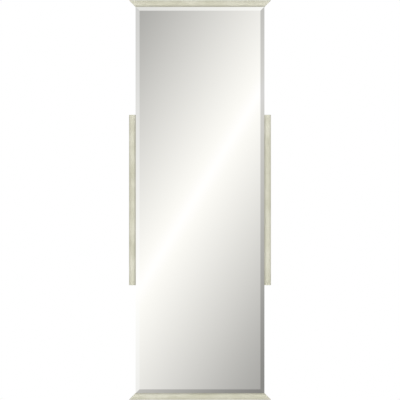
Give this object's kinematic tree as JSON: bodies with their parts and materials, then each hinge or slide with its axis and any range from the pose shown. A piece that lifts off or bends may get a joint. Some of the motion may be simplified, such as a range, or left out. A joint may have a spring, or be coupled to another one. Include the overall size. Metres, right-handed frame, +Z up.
{
  "type": "pull out closet mirror",
  "caption": "Tall bevelled closet mirror with trim mouldings that pulls out on ball-bearing slides from a wall plate and then swings on a pivot post to face the room.",
  "frame": {"origin": "middle of the wall plate's back face, on the closet wall, level with the middle of the glass", "axes": "+Z up, +Y into the closet wall so that the mirror faces -Y, +X the way the mirror pulls out"},
  "size_m": [0.4476, 0.0606, 1.2604],
  "materials": {
    "mirror": "silvered plate glass with a ground bevel",
    "silver_leaf": "wood moulding in a mottled champagne silver leaf",
    "fibreboard": "plain fibreboard",
    "foam_tape": "white foam tape",
    "zinc_steel": "zinc plated",
    "cage_steel": "plain strip steel",
    "ball_steel": "polished",
    "nickel_paint": "satin nickel powder coat",
    "pin_steel": "turned",
    "screw_zinc": "zinc plated",
    "black_nylon": "moulded",
    "white_acetal": "moulded",
    "ferrite": "sintered",
    "plate_steel": "nickel plated"
  },
  "bodies": {
    "wall_base": {"wall_plate": "nickel_paint", "upper_slide_outer": "zinc_steel", "lower_slide_outer": "zinc_steel", "slide_end_stops": "black_nylon"},
    "outer_cages": {"upper_outer_cage": "cage_steel", "lower_outer_cage": "cage_steel", "outer_balls": "ball_steel"},
    "slide_middles": {"upper_slide_middle": "zinc_steel", "lower_slide_middle": "zinc_steel"},
    "inner_cages": {"upper_inner_cage": "cage_steel", "lower_inner_cage": "cage_steel", "inner_balls": "ball_steel"},
    "carriage": {"upper_slide_inner": "zinc_steel", "lower_slide_inner": "zinc_steel", "upper_carriage_arm": "nickel_paint", "lower_carriage_arm": "nickel_paint", "arm_screws": "screw_zinc", "pivot_post": "nickel_paint", "upper_post_cap": "black_nylon", "lower_post_cap": "black_nylon", "upper_hinge_bracket": "nickel_paint", "lower_hinge_bracket": "nickel_paint", "upper_hinge_pin": "pin_steel", "lower_hinge_pin": "pin_steel", "retaining_rings": "pin_steel", "upper_catch_housing": "black_nylon", "lower_catch_housing": "black_nylon", "catch_magnets": "ferrite", "pole_plates": "plate_steel", "catch_screws": "screw_zinc"},
    "mirror_panel": {"mirror_glass": "mirror", "mirror_tape": "foam_tape", "backing_board": "fibreboard", "top_moulding": "silver_leaf", "bottom_moulding": "silver_leaf", "left_moulding": "silver_leaf", "right_moulding": "silver_leaf", "moulding_screws": "screw_zinc", "upper_hinge_leaf": "nickel_paint", "lower_hinge_leaf": "nickel_paint", "hinge_bushes": "white_acetal", "leaf_screws": "screw_zinc", "strike_plates": "plate_steel", "strike_screws": "screw_zinc"}
  },
  "joints": [
    {"name": "carriage_slide", "type": "slide", "parent": "wall_base", "child": "carriage", "axis": [1, 0, 0], "range_m": [0, 0.35]},
    {"name": "middle_slide", "type": "slide", "parent": "wall_base", "child": "slide_middles", "axis": [1, 0, 0], "range_m": [0, 0.175]},
    {"name": "outer_cage_slide", "type": "slide", "parent": "wall_base", "child": "outer_cages", "axis": [1, 0, 0], "range_m": [0, 0.0875]},
    {"name": "inner_cage_slide", "type": "slide", "parent": "wall_base", "child": "inner_cages", "axis": [1, 0, 0], "range_m": [0, 0.2625]},
    {"name": "mirror_pivot", "type": "hinge", "parent": "carriage", "child": "mirror_panel", "pos_m": [0.19505, -0.03415, 0], "axis": [0, 0, 1], "range_deg": [0, 90]}
  ],
  "couplings": [
    {"joint": "middle_slide", "follows": "carriage_slide", "ratio": 0.5},
    {"joint": "outer_cage_slide", "follows": "carriage_slide", "ratio": 0.25},
    {"joint": "inner_cage_slide", "follows": "carriage_slide", "ratio": 0.75}
  ]
}
